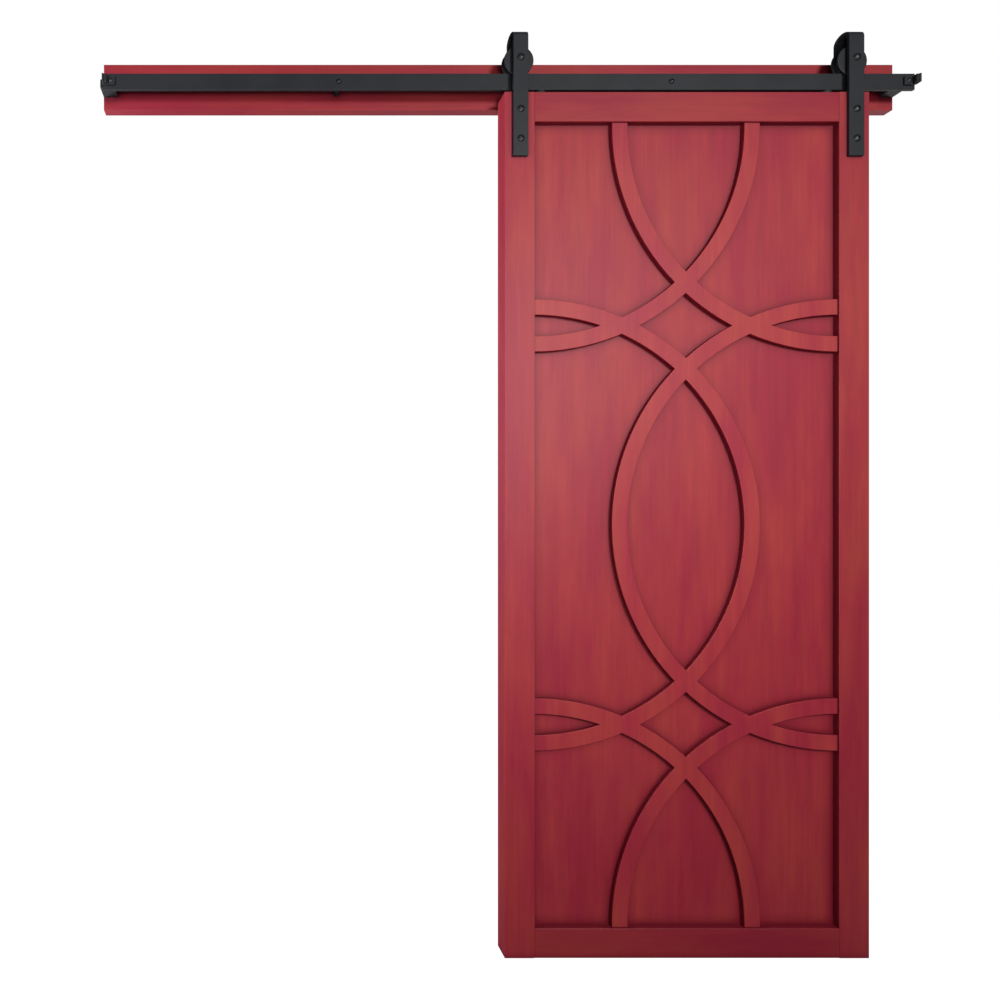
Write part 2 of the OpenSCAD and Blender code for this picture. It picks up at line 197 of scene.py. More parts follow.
print("lamps:", ", ".join(lamp[0] for lamp in LAMPS))

# %% [markdown]
# ## Putting a surface into a mesh
#
# Every new piece ends the same way: a grid of points becomes a mesh, points that fall together
# at a pole are merged, the faces are turned outwards, and edges sharper than a limit stay crisp
# while the rest shade smoothly. One helper does it, so the pieces below are only formulas.


# %% Mesh helpers
def grid_faces(rows, cols, wrap_rows=False, wrap_cols=True, start=0):
    """Quads of a grid of rows x cols points, joined round in either direction where it wraps."""
    i = np.arange(rows if wrap_rows else rows - 1)[:, None]
    j = np.arange(cols if wrap_cols else cols - 1)[None, :]
    a = i * cols + j
    b = i * cols + (j + 1) % cols
    c = (i + 1) % rows * cols + (j + 1) % cols
    d = (i + 1) % rows * cols + j
    return np.stack([a, b, c, d], -1).reshape(-1, 4) + start


def add_piece(name, points, faces, body, slot, material, stands_for=(), crisp=40, caps=()):
    """A finished piece from points (n, 3), quads (m, 4) and caps, which are lists of corners."""
    mesh = bpy.data.meshes.new(name)
    mesh.from_pydata(np.asarray(points).tolist(), [], np.asarray(faces).tolist() + list(caps))
    shape = bmesh.new()
    shape.from_mesh(mesh)
    bmesh.ops.remove_doubles(shape, verts=shape.verts, dist=1e-6)
    bmesh.ops.recalc_face_normals(shape, faces=shape.faces)
    shape.to_mesh(mesh)
    shape.free()
    mesh.polygons.foreach_set("use_smooth", np.ones(len(mesh.polygons), bool))
    mesh.set_sharp_from_angle(angle=math.radians(crisp))
    mesh.materials.append(material)
    piece = bpy.data.objects.new(name, mesh)
    scene.collection.objects.link(piece)
    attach(piece, body)
    if stands_for:
        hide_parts(*stands_for)
    print(f"{name}: {len(mesh.polygons)} faces")
    return piece


# %% [markdown]
# ## Patterns shared by the finishes
#
# Wood, paint and rubber all need fine variation. Each pattern is a node group that puts out
# masks and heights only; the shader itself stays in each material. The wood pattern is made of
# noise stretched along the grain at three scales: clouds where the stain soaked in unevenly,
# streaks as wide as the growth rings, and fine pores. The inside-corner pattern is a mask from
# the Ambient Occlusion node, which measures how much of the open air a point can see; the wood
# uses it to paint shade into its inside corners.


# %% Pattern groups
def new_group(name, inputs, outputs):
    """A shader node group with named float or vector sockets; returns its tree and end nodes."""
    group = bpy.data.node_groups.new(name, "ShaderNodeTree")
    for label, kind, value in inputs:
        socket = group.interface.new_socket(label, in_out="INPUT", socket_type=kind)
        if value is not None:
            socket.default_value = value
    for label in outputs:
        group.interface.new_socket(label, in_out="OUTPUT", socket_type="NodeSocketFloat")
    return group, group.nodes.new("NodeGroupInput"), group.nodes.new("NodeGroupOutput")


def stretched_noise(tree, vector, scale, detail, rough=0.5):
    """Noise with its own scale along each axis, so that it can run along the grain."""
    turn = tree.nodes.new("ShaderNodeMapping")
    turn.inputs["Scale"].default_value = scale
    noise = tree.nodes.new("ShaderNodeTexNoise")
    noise.inputs["Scale"].default_value = 1.0
    noise.inputs["Detail"].default_value = detail
    noise.inputs["Roughness"].default_value = rough
    tree.links.new(vector, turn.inputs["Vector"])
    tree.links.new(turn.outputs["Vector"], noise.inputs["Vector"])
    return noise.outputs["Fac"]


def spread(tree, value, low, high):
    """A mask that goes from 0 at low to 1 at high."""
    remap = tree.nodes.new("ShaderNodeMapRange")
    remap.inputs["From Min"].default_value = low
    remap.inputs["From Max"].default_value = high
    tree.links.new(value, remap.inputs["Value"])
    return remap.outputs["Result"]


grain, g_in, g_out = new_group(
    "wood_grain", [("Vector", "NodeSocketVector", None)], ["Clouds", "Streaks", "Pores"])
vec = g_in.outputs["Vector"]
clouds = stretched_noise(grain, vec, (14, 14, 3), 3, 0.55)
streaks = stretched_noise(grain, vec, (120, 120, 3.5), 3, 0.6)
pores = stretched_noise(grain, vec, (900, 900, 22), 2, 0.6)
grain.links.new(spread(grain, clouds, 0.36, 0.66), g_out.inputs["Clouds"])
grain.links.new(spread(grain, streaks, 0.32, 0.70), g_out.inputs["Streaks"])
grain.links.new(spread(grain, pores, 0.42, 0.62), g_out.inputs["Pores"])

speckle, s_in, s_out = new_group(
    "fine_speckle", [("Vector", "NodeSocketVector", None), ("Size", "NodeSocketFloat", 1.0)],
    ["Mottle", "Grit"])
size = speckle.nodes.new("ShaderNodeVectorMath")
size.operation = "SCALE"
speckle.links.new(s_in.outputs["Vector"], size.inputs[0])
speckle.links.new(s_in.outputs["Size"], size.inputs["Scale"])
vec = size.outputs["Vector"]
speckle.links.new(spread(speckle, stretched_noise(speckle, vec, (14, 14, 14), 3), 0.35, 0.65),
                  s_out.inputs["Mottle"])
speckle.links.new(spread(speckle, stretched_noise(speckle, vec, (900, 900, 900), 1), 0.3, 0.7),
                  s_out.inputs["Grit"])

# A point beside a wall sees little air and one on a flat board sees all of it; the mask goes
# from 0 to 1 between these two shares. The wood paints shade where the mask is low.
CORNER_AIR, OPEN_AIR = 0.62, 0.98
painted_shade_group, a_in, a_out = new_group("painted_corner_shade", [("Reach", "NodeSocketFloat", 1.0)], ["Open"])
air = painted_shade_group.nodes.new("ShaderNodeAmbientOcclusion")
air.samples = 8
painted_shade_group.links.new(a_in.outputs["Reach"], air.inputs["Distance"])
painted_shade_group.links.new(spread(painted_shade_group, air.outputs["AO"], CORNER_AIR, OPEN_AIR), a_out.inputs["Open"])
print("groups:", ", ".join(g.name for g in bpy.data.node_groups))

# %% [markdown]
# ## Stained wood
#
# The boards carry a red stain with the grain showing through, dried to a soft sheen. Each board
# gets its own material: the same recipe, with the pattern turned along that board's grain and
# moved to a fresh part of the noise, and with its own warmth and tone. Warmth and tone are set
# board by board as painted light and shade, with the header and rails made darkest. The inside
# corners are painted a deep red as painted shade, and that is what makes the strips stand out
# from the panel.


# %% Wood finish
def mix_colours(tree, mask, dark, light):
    """One colour where the mask is 0 and another where it is 1."""
    mix = tree.nodes.new("ShaderNodeMix")
    mix.data_type = "RGBA"
    tree.links.new(mask, mix.inputs["Factor"])
    for socket, value in ((mix.inputs["A"], dark), (mix.inputs["B"], light)):
        if isinstance(value, tuple):
            socket.default_value = (*value, 1)
        else:
            tree.links.new(value, socket)
    return mix.outputs["Result"]


def shade(tree, colour, mask, low, high):
    """A colour multiplied by a grey between low and high as the mask goes from 0 to 1."""
    grey = mix_colours(tree, mask, (low,) * 3, (high,) * 3)
    mix = tree.nodes.new("ShaderNodeMix")
    mix.data_type = "RGBA"
    mix.blend_type = "MULTIPLY"
    mix.inputs["Factor"].default_value = 1.0
    tree.links.new(colour, mix.inputs["A"])
    tree.links.new(grey, mix.inputs["B"])
    return mix.outputs["Result"]


def bump(tree, shader, height, distance, strength=1.0):
    """Relief of a given depth in metres, from a 0 to 1 height."""
    relief = tree.nodes.new("ShaderNodeBump")
    relief.inputs["Strength"].default_value = strength
    relief.inputs["Distance"].default_value = distance
    tree.links.new(height, relief.inputs["Height"])
    tree.links.new(relief.outputs["Normal"], shader.inputs["Normal"])


def base_material(name, roughness, specular=0.5):
    """A material with one Principled shader; returns it, its tree and the shader."""
    material = bpy.data.materials.new(name)
    tree = node_tree(material)
    shader = tree.nodes.new("ShaderNodeBsdfPrincipled")
    shader.inputs["Roughness"].default_value = roughness
    shader.inputs["Specular IOR Level"].default_value = specular
    end = tree.nodes.new("ShaderNodeOutputMaterial")
    tree.links.new(shader.outputs["BSDF"], end.inputs["Surface"])
    return material, tree, shader


RED_DEEP = (0.372, 0.013, 0.041)
RED_WARM = (0.436, 0.033, 0.041)
# The deep red painted into inside corners as painted shade.
RED_PAINTED_SHADE = (0.18, 0.001, 0.014)
PAINTED_SHADE_REACH = 30 * MM
PORE_DEPTH = 0.05 * MM


def stained_wood(name, shift, along="z", warmth=1.0, tone=1.0):
    """Red stain on one board. The pattern's long axis is turned along the board's grain, and
    shift moves it to a fresh part of the noise. Warmth multiplies the green and tone all three
    colours; both are painted light and shade, set board by board. Inside corners go over to the
    deepest red as painted shade."""
    material, tree, shader = base_material(name, 0.58, 0.55)
    place = tree.nodes.new("ShaderNodeTexCoord")
    turn = tree.nodes.new("ShaderNodeMapping")
    turn.inputs["Location"].default_value = shift
    turn.inputs["Rotation"].default_value = (0, math.radians(90) if along == "x" else 0, 0)
    pattern = tree.nodes.new("ShaderNodeGroup")
    pattern.node_tree = grain
    tree.links.new(place.outputs["Object"], turn.inputs["Vector"])
    tree.links.new(turn.outputs["Vector"], pattern.inputs["Vector"])
    corner = tree.nodes.new("ShaderNodeGroup")
    corner.node_tree = painted_shade_group
    corner.inputs["Reach"].default_value = PAINTED_SHADE_REACH
    # Painted light and shade: each board's tone and warmth scale its reds, making some boards darker.
    deep, warm = ((red * tone, green * warmth * tone, blue * tone)
                  for red, green, blue in (RED_DEEP, RED_WARM))
    colour = mix_colours(tree, pattern.outputs["Clouds"], deep, warm)
    # Painted shade: where the mask finds little open air, the colour goes over to the deep red.
    colour = mix_colours(tree, corner.outputs["Open"], RED_PAINTED_SHADE, colour)
    colour = shade(tree, colour, pattern.outputs["Streaks"], 0.91, 1.05)
    colour = shade(tree, colour, pattern.outputs["Pores"], 0.96, 1.02)
    tree.links.new(colour, shader.inputs["Base Color"])
    bump(tree, shader, pattern.outputs["Pores"], PORE_DEPTH, 0.5)
    return material


# Each board's shift, grain direction, warmth and tone. Warmth and tone are painted light and
# shade, set board by board, with the header and rails made darkest.
BOARDS = {
    "header_board": ((0.3, 0.7, 1.9), "x", 1.08, 0.84),
    "left_stile": ((1.1, 0.2, 0.6), "z", 1.08, 0.97),
    "right_stile": ((2.7, 0.9, 3.3), "z", 1.25, 0.92),
    "top_rail": ((4.2, 0.1, 2.2), "x", 1.02, 0.86),
    "bottom_rail": ((5.9, 0.5, 1.4), "x", 1.0, 0.82),
    "centre_panel": ((7.3, 0.8, 0.2), "z", 1.1, 0.94),
    "fretwork": ((8.8, 0.3, 2.8), "z", 1.2, 1.0),
}
wood = {board: stained_wood("wood_" + board, *how) for board, how in BOARDS.items()}
print("wood finishes:", len(wood))

# %% [markdown]
# ## Powder coat, paint, rubber, nylon and bearing steel
#
# The track, straps and wheels are baked with charcoal powder, which dries with a faint orange
# peel. The screws are painted a little smoother. Rubber and nylon are almost black; the
# bearings keep bright ground steel.


# %% Metal, rubber and nylon finishes
def speckled(name, dark, light, roughness, size, relief, metallic=0.0, specular=0.5):
    """A finish whose colour drifts between two tones, with a fine grit in its surface."""
    material, tree, shader = base_material(name, roughness, specular)
    shader.inputs["Metallic"].default_value = metallic
    place = tree.nodes.new("ShaderNodeTexCoord")
    pattern = tree.nodes.new("ShaderNodeGroup")
    pattern.node_tree = speckle
    pattern.inputs["Size"].default_value = size
    tree.links.new(place.outputs["Object"], pattern.inputs["Vector"])
    colour = mix_colours(tree, pattern.outputs["Mottle"], dark, light)
    colour = shade(tree, colour, pattern.outputs["Grit"], 0.92, 1.06)
    tree.links.new(colour, shader.inputs["Base Color"])
    bump(tree, shader, pattern.outputs["Grit"], relief)
    return material


FINISH = {
    "track_steel": speckled("powder_coat", (0.019, 0.022, 0.027), (0.024, 0.027, 0.033), 0.55, 1.0,
                            0.06 * MM, specular=0.4),
    "fixings": speckled("screw_paint", (0.013, 0.015, 0.018), (0.017, 0.019, 0.022), 0.42, 1.6,
                        0.03 * MM),
    "rubber": speckled("black_rubber", (0.010, 0.010, 0.010), (0.014, 0.014, 0.014), 0.75, 2.0,
                       0.05 * MM),
    "nylon": speckled("black_nylon", (0.012, 0.012, 0.013), (0.017, 0.017, 0.018), 0.55, 1.5,
                      0.02 * MM),
    "bearing_steel": speckled("ground_steel", (0.50, 0.50, 0.52), (0.58, 0.58, 0.60), 0.28, 2.0,
                              0.004 * MM, metallic=1.0),
}
slot_of = {part["node"]: part["material_slot"] for part in frame["record"]["subparts"]}
for name, node in nodes.items():
    node.data.materials.clear()
    node.data.materials.append(wood[name] if name in wood else FINISH[slot_of[name]])
print("finishes:", ", ".join(FINISH))

# %% [markdown]
# ## Three ways to make a surface
#
# Nearly everything on this door is one of three shapes: a flat bar bent or left straight, a
# part turned on a lathe, or a sheet cut along curves. So three functions make the points.
# `outline` rounds the corners of any polygon, `bar` carries an outline along a path and eases
# its two ends, and `turned` spins a profile round an axis.


# %% Outlines, bars and turned parts
def unit(vectors):
    """Vectors scaled to length one."""
    return vectors / np.linalg.norm(vectors, axis=-1, keepdims=True)


def outline(corners, radii, steps=5):
    """A polygon with rounded corners. Each corner with radius r becomes an arc that touches both
    of its sides: its centre lies on the corner's bisector, r / sin(half the angle) away."""
    corners = np.asarray(corners, float)
    pieces = []
    for i, radius in enumerate(radii):
        corner = corners[i]
        if radius == 0:
            pieces.append(corner[None])
            continue
        to_last = unit(corners[i - 1] - corner)
        to_next = unit(corners[(i + 1) % len(corners)] - corner)
        half = math.acos(to_last @ to_next) / 2
        centre = corner + unit(to_last + to_next) * radius / math.sin(half)
        first = corner + to_last * radius / math.tan(half) - centre
        last = corner + to_next * radius / math.tan(half) - centre
        sweep = math.pi - 2 * half
        t = np.linspace(0, 1, steps + 1)[:, None]
        pieces.append(centre + (np.sin((1 - t) * sweep) * first + np.sin(t * sweep) * last)
                      / math.sin(sweep))
    return np.concatenate(pieces)


def rectangle(width, height, radius, steps=5):
    """A rounded rectangle about the origin."""
    w, h = width / 2, height / 2
    return outline([(-w, -h), (w, -h), (w, h), (-w, h)], [radius] * 4, steps)


def mitres(loop):
    """Outward mitre vectors of a closed loop that runs anticlockwise: moving each point by
    -e times its vector shrinks the loop by e all round."""
    ahead = unit(np.roll(loop, -1, 0) - loop)
    side = np.stack([ahead[:, 1], -ahead[:, 0]], -1)
    before = np.roll(side, 1, 0)
    return (side + before) / (1 + (side * before).sum(-1, keepdims=True))


def bar(section, path, across, ease, steps=4):
    """A section carried along a path: each station puts the section's first axis along
    `across` and its second square to both the path and `across`. Near either end the section
    shrinks by e(a) = ease * (1 - sin a) at ease * (1 - cos a) from the end, a quarter circle."""
    path = np.asarray(path, float)
    across = np.asarray(across, float)
    leg = unit(np.diff(path, axis=0))
    a = np.linspace(0, math.pi / 2, steps + 1)
    shrink = ease * (1 - np.sin(a))
    push = ease * (1 - np.cos(a))[:, None]
    start = path[0] + push * leg[0]
    end = path[-1] - push[::-1] * leg[-1]
    places = np.concatenate([start, path[1:-1], end])
    shrinks = np.concatenate([shrink, np.zeros(len(path) - 2), shrink[::-1]])
    heading = np.concatenate([
        np.repeat(leg[:1], len(start), 0), unit(leg[:-1] + leg[1:]), np.repeat(leg[-1:], len(end), 0)])
    normal = np.cross(heading, across)
    local = section - shrinks[:, None, None] * mitres(section)
    points = places[:, None] + local[..., :1] * across + local[..., 1:] * normal[:, None]
    rows, cols = local.shape[:2]
    faces = grid_faces(rows, cols)
    caps = [list(range(cols)), list(range((rows - 1) * cols, rows * cols))]
    return points.reshape(-1, 3), faces, caps


def turned(depth, radius, centre, axis="y", closed=False, turns=64):
    """A profile spun round an axis. Point k of the profile becomes a circle of radius[k] about
    the centre, depth[k] along -Y or +Z. A radius may be an array over the turn, as for a
    hexagon, and depth too."""
    angle = np.linspace(0, 2 * math.pi, turns, endpoint=False)
    depth = np.stack([np.broadcast_to(d, turns) for d in depth])
    radius = np.stack([np.broadcast_to(r, turns) for r in radius])
    side = radius * np.cos(angle)
    rise = radius * np.sin(angle)
    local = (side, -depth, rise) if axis == "y" else (side, rise, depth)
    points = np.stack(local, -1) + np.asarray(centre)
    return points.reshape(-1, 3), grid_faces(len(depth), turns, wrap_rows=closed)


def joined(parts):
    """Several (points, faces) pairs as one pair."""
    counts = np.cumsum([0] + [len(p[0]) for p in parts[:-1]])
    points = np.concatenate([p[0] for p in parts])
    faces = np.concatenate([p[1] + n for p, n in zip(parts, counts)])
    return points, faces


def corners_of(name):
    """A node's lowest and highest corners as arrays."""
    return tuple(np.array(corner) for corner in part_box(name))


def even_shading(piece):
    """Lets the large flat faces keep flat normals beside their small rounded edges."""
    even = piece.modifiers.new("even_shading", "WEIGHTED_NORMAL")
    even.keep_sharp = True
    even.weight = 100
    return piece


print("surface makers ready")

# %% [markdown]
# ## The rail, the end stops and their blocks
#
# The rail is a flat bar 6 mm thick. Hot-rolled bar has softened edges, and those edges are what
# catch the light along its whole length. The stops are the same kind of bar bent once round a
# small radius, so they are one section carried round a corner.

# %% Rail, stops and blocks
STEEL = FINISH["track_steel"]
BAR_EASE = 0.9 * MM
STOP_T = 4.5 * MM
STOP_BEND = 4.5 * MM

low, high = corners_of("track_rail")
rail_mid = (low + high) / 2
section = rectangle(high[2] - low[2], high[1] - low[1], BAR_EASE)
points, faces, caps = bar(section, [(low[0], *rail_mid[1:]), (high[0], *rail_mid[1:])],
                          (0, 0, 1), BAR_EASE)
even_shading(add_piece("rail_bar", points, faces, "track", "track_steel", STEEL,
                       ["track_rail"], caps=caps))

for side, inward in (("left", 1), ("right", -1)):
    low, high = corners_of("end_stop_" + side)
    outer = low[0] if inward > 0 else high[0]
    inner = high[0] if inward > 0 else low[0]
    mid_z = (low[2] + high[2]) / 2
    plan = outline([(inner, high[1] - STOP_T / 2), (outer + inward * STOP_T / 2, high[1] - STOP_T / 2),
                    (outer + inward * STOP_T / 2, low[1])], [0, STOP_BEND, 0], steps=8)
    path = np.c_[plan, np.full(len(plan), mid_z)]
    section = rectangle(high[2] - low[2], STOP_T, BAR_EASE)
    points, faces, caps = bar(section, path, (0, 0, 1), BAR_EASE)
    even_shading(add_piece(f"stop_{side}_bent", points, faces, "track", "track_steel", STEEL,
                           ["end_stop_" + side], caps=caps))

BLOCK_HALF = 18 * MM
low, high = corners_of("end_spacers")
mid = (low + high) / 2
parts = []
for x in (low[0] + BLOCK_HALF, high[0] - BLOCK_HALF):
    section = rectangle(high[2] - low[2], 2 * BLOCK_HALF, BAR_EASE)
    points, faces, caps = bar(section, [(x, low[1], mid[2]), (x, high[1], mid[2])], (0, 0, 1), BAR_EASE)
    parts.append((points, faces, caps))
count = len(parts[0][0])
caps = parts[0][2] + [[i + count for i in cap] for cap in parts[1][2]]
points, faces = joined([p[:2] for p in parts])
even_shading(add_piece("end_blocks", points, faces, "track", "track_steel", STEEL,
                       ["end_spacers"], caps=caps))

# %% [markdown]
# ## The rubber pads
#
# Each stop carries a small rubber block that the strap meets. Rubber has no sharp edge, so its
# corners are rounded far more than the steel's.

# %% Pads
PAD_EASE = 1.8 * MM
for side in ("left", "right"):
    low, high = corners_of("stop_bumper_" + side)
    mid = (low + high) / 2
    section = rectangle(high[2] - low[2], high[0] - low[0], PAD_EASE)
    points, faces, caps = bar(section, [(mid[0], high[1], mid[2]), (mid[0], low[1], mid[2])],
                              (0, 0, 1), PAD_EASE)
    even_shading(add_piece(f"pad_{side}", points, faces, "track", "rubber", FINISH["rubber"],
                           ["stop_bumper_" + side], caps=caps))

# %% [markdown]
# ## The straps
#
# A strap is a length of flat bar, folded over the wheel like a hairpin: up the leaf's face,
# half a turn, and a short way down behind. One rounded section carried along that path makes
# it, and both cut ends are eased, as a file leaves them.

# %% Straps
STRAP_T = 6 * MM
STRAP_EASE = 1.1 * MM
BACK_DROP = 21 * MM  # from the axle down to the end of the leg behind the wheel
for side in ("left", "right"):
    low, high = corners_of("hanger_strap_" + side)
    mid = (low + high) / 2
    bend = (high[1] - low[1] - STRAP_T) / 2
    axle_low, axle_high = corners_of("axle_bolt_" + side)
    axle_z = (axle_low[2] + axle_high[2]) / 2
    bend_z = high[2] - bend - STRAP_T / 2
    angle = np.linspace(0, math.pi, 25)
    arc = np.c_[mid[1] - bend * np.cos(angle), bend_z + bend * np.sin(angle)]
    profile = np.concatenate([[(mid[1] - bend, low[2])], arc, [(mid[1] + bend, axle_z - BACK_DROP)]])
    path = np.c_[np.full(len(profile), mid[0]), profile]
    section = rectangle(high[0] - low[0], STRAP_T, STRAP_EASE)
    points, faces, caps = bar(section, path, (1, 0, 0), STRAP_EASE)
    even_shading(add_piece(f"strap_{side}_folded", points, faces, "door", "track_steel", STEEL,
                           ["hanger_strap_" + side], caps=caps))

# %% [markdown]
# ## The wheels
#
# Each wheel is turned from steel: a tread between two flanges, with a bore that holds the
# bearing against a shoulder. A lathe leaves small radii on every corner, so the profile is a
# polygon with rounded corners, spun round the axle.

# %% Wheels
TREAD_R = 28 * MM
GROOVE = 8.4 * MM
BEARING_R = 15 * MM
BEARING_W = 9 * MM
SHOULDER_R = 13 * MM
for side in ("left", "right"):
    low, high = corners_of("wheel_" + side)
    mid = (low + high) / 2
    rim = (high[0] - low[0]) / 2
    half = (high[1] - low[1]) / 2
    lathe = [(-half, BEARING_R), (-half, rim), (-GROOVE / 2, rim), (-GROOVE / 2, TREAD_R),
             (GROOVE / 2, TREAD_R), (GROOVE / 2, rim), (half, rim), (half, SHOULDER_R),
             (BEARING_W / 2, SHOULDER_R), (BEARING_W / 2, BEARING_R)]
    radii = np.array([0.6, 1.4, 1.2, 0.9, 0.9, 1.2, 1.4, 0.8, 0, 0]) * MM
    profile = outline(lathe, radii)
    points, faces = turned(profile[:, 0], profile[:, 1], mid, closed=True, turns=128)
    add_piece(f"wheel_{side}_turned", points, faces, "wheel_" + side, "track_steel", STEEL,
              ["wheel_" + side])

# %% [markdown]
# ## Bolts and nuts
#
# The strap bolts and axles have low button heads with a hexagonal socket. A head is a grid of
# rings: the inner ones follow the socket's hexagon and the outer ones swell into circles, so
# one formula covers both. Nuts are hexagons whose corners a cone has cut back.

# %% Bolts, screws and nuts
PAINT = FINISH["fixings"]
TURNS = 48


def hexagon(across_flats):
    """Radius of a hexagon over one turn, with a corner at the start: half its width over flats,
    divided by the cosine of the angle from the middle of the nearest flat."""
    angle = np.linspace(0, 2 * math.pi, TURNS, endpoint=False)
    from_flat = angle % (math.pi / 3) - math.pi / 6
    return across_flats / 2 / np.cos(from_flat)


def button_bolt(centre, head_d, rise, shank_d, length, socket, deep, axis="y"):
    """A button-head bolt: socket floor, socket wall, a spherical cap of the given rise on a thin
    rim, and a shank with an eased end. The centre is on the plane under the head."""
    rim = 0.16 * rise
    cap = rise - rim
    ball = (head_d ** 2 / 4 + cap ** 2) / (2 * cap)
    flat = hexagon(socket)
    t = np.linspace(0, 1, 9)[:, None]
    across = flat + t * (head_d / 2 - flat)
    dome = rim + np.sqrt(ball ** 2 - across ** 2) - (ball - cap)
    floor_depth = rise - deep
    ease = 0.08 * shank_d
    radius = [0.0, flat * 0.98, flat, *across, head_d / 2, shank_d / 2, shank_d / 2,
              shank_d / 2 - ease, 0.0]
    depth = [floor_depth - 0.2 * deep, floor_depth, floor_depth + 0.05 * deep, *dome, 0.0, 0.0,
             -length + ease, -length, -length]
    return turned(depth, radius, centre, axis, turns=TURNS)


def hex_nut(centre, across_flats, thick, bore):
    """A nut whose corners are cut back by a cone; the centre is the middle of its front face."""
    hexa = hexagon(across_flats)
    face = 0.95 * across_flats / 2
    cut = (hexa - face) * math.tan(math.radians(25))
    lead = 0.4 * MM
    radius = [bore / 2, bore / 2 + lead, face, hexa, hexa, face, bore / 2 + lead, bore / 2]
    depth = [-lead, 0.0, 0.0, -cut, cut - thick, -thick, -thick, lead - thick]
    return turned(depth, radius, centre, closed=True, turns=TURNS)


HEAD_HALF = {"strap_bolts": 9 * MM, "rail_screws": 6.5 * MM, "end_screws": 5.5 * MM}


def places_of(name, columns, rows=1):
    """Centres (x, z) of a node's evenly placed copies, from its box and half a head's width."""
    low, high = corners_of(name)
    half = HEAD_HALF[name]
    xs = np.linspace(low[0] + half, high[0] - half, columns)
    zs = np.linspace(low[2] + half, high[2] - half, rows)
    return [(x, z) for x in xs for z in zs]


BOLT_D = 8 * MM
BOLT_HEAD = 5 * MM
AXLE_D = 10 * MM
AXLE_HEAD = 5.5 * MM
THREAD_PLAY = 0.1 * MM
SOCKET = 6 * MM
SOCKET_DEEP = 3 * MM
BOLT_NUT = 13 * MM
AXLE_NUT = 16 * MM
WASHER_BORE_R = 4.2 * MM
WASHER_R = 9 * MM
WASHER_EASE = 0.3 * MM

bolt_low, bolt_high = corners_of("strap_bolts")
seat = bolt_low[1] + BOLT_HEAD
bolts = [button_bolt((x, seat, z), 2 * HEAD_HALF["strap_bolts"], BOLT_HEAD, BOLT_D,
                     bolt_high[1] - seat, SOCKET, SOCKET_DEEP)
         for x, z in places_of("strap_bolts", 2, 2)]
add_piece("strap_bolts_turned", *joined(bolts), "door", "fixings", PAINT, ["strap_bolts"])

low, high = corners_of("strap_nuts")
nuts = [hex_nut((x, low[1], z), BOLT_NUT, high[1] - low[1], BOLT_D + THREAD_PLAY)
        for x, z in places_of("strap_bolts", 2, 2)]
add_piece("strap_nuts_cut", *joined(nuts), "door", "fixings", PAINT, ["strap_nuts"], crisp=25)

low, high = corners_of("strap_washers")
thin = low[1] - high[1]
washer = outline([(0, WASHER_BORE_R), (0, WASHER_R), (thin, WASHER_R), (thin, WASHER_BORE_R)],
                 [WASHER_EASE] * 4, steps=3)
rings = [turned(washer[:, 0], washer[:, 1], (x, low[1], z), closed=True)
         for x, z in places_of("strap_bolts", 2, 2)]
add_piece("strap_washers_pressed", *joined(rings), "door", "fixings", PAINT, ["strap_washers"])

for side in ("left", "right"):
    low, high = corners_of("axle_bolt_" + side)
    mid = (low + high) / 2
    seat = low[1] + AXLE_HEAD
    points, faces = button_bolt((mid[0], seat, mid[2]), high[0] - low[0], AXLE_HEAD, AXLE_D,
                                high[1] - seat, SOCKET, SOCKET_DEEP)
    add_piece(f"axle_{side}_turned", points, faces, "door", "fixings", PAINT, ["axle_bolt_" + side])

low, high = corners_of("axle_nuts")
axle_z = (low[2] + high[2]) / 2
xs = [(c[0][0] + c[1][0]) / 2 for c in (corners_of("axle_bolt_left"), corners_of("axle_bolt_right"))]
nuts = [hex_nut((x, low[1], axle_z), AXLE_NUT, high[1] - low[1], AXLE_D + THREAD_PLAY) for x in xs]
add_piece("axle_nuts_cut", *joined(nuts), "door", "fixings", PAINT, ["axle_nuts"], crisp=25)

for name, head, rise, shank, socket in (("rail_screws", 13, 5, 7, 4), ("end_screws", 11, 3, 7, 3)):
    low, high = corners_of(name)
    seat = low[1] + rise * MM
    screws = [button_bolt((x, seat, z), head * MM, rise * MM, shank * MM, high[1] - seat,
                          socket * MM, 0.5 * rise * MM) for x, z in places_of(name, 2)]
    add_piece(name + "_turned", *joined(screws), "track", "fixings", PAINT, [name])

# %% [markdown]
# ## Anti-jump discs
#
# Two nylon discs on the leaf's top edge keep the wheels from lifting off the rail. They are
# turned about an upright axis, and each has a countersink for its screw.

# %% Discs
DISC_R = 15 * MM
SCREW_HOLE_R = 2.7 * MM
SINK_R = 5.2 * MM
low, high = corners_of("anti_jump_discs")
rise = high[2] - low[2]
lathe = [(0, SCREW_HOLE_R), (0, DISC_R), (rise, DISC_R), (rise, SINK_R),
         (rise - SINK_R + SCREW_HOLE_R, SCREW_HOLE_R)]
profile = outline(lathe, np.array([0, 1.0, 1.6, 0.3, 0]) * MM)
discs = [turned(profile[:, 0], profile[:, 1], (x, (low[1] + high[1]) / 2, low[2]), axis="z",
                closed=True) for x in (low[0] + DISC_R, high[0] - DISC_R)]
add_piece("discs_turned", *joined(discs), "door", "nylon", FINISH["nylon"], ["anti_jump_discs"])

# %% [markdown]
# ## The fretwork
#
# The curved pattern is one board, cut through along circles: six rings centred on the opening's
# two sides, in three rows, and everything outside the opening cut away. A Boolean would give
# ragged edges that no bevel can follow, so the outline is worked out instead. Every circle is
# split where it crosses another circle or a side of the opening. A stretch belongs to the
# outline when its middle lies in the opening and inside no other ring. The stretches are then
# joined end to end, and each loop gets a straight wall and a rounded front edge, as a router
# with a small round-over bit leaves it.


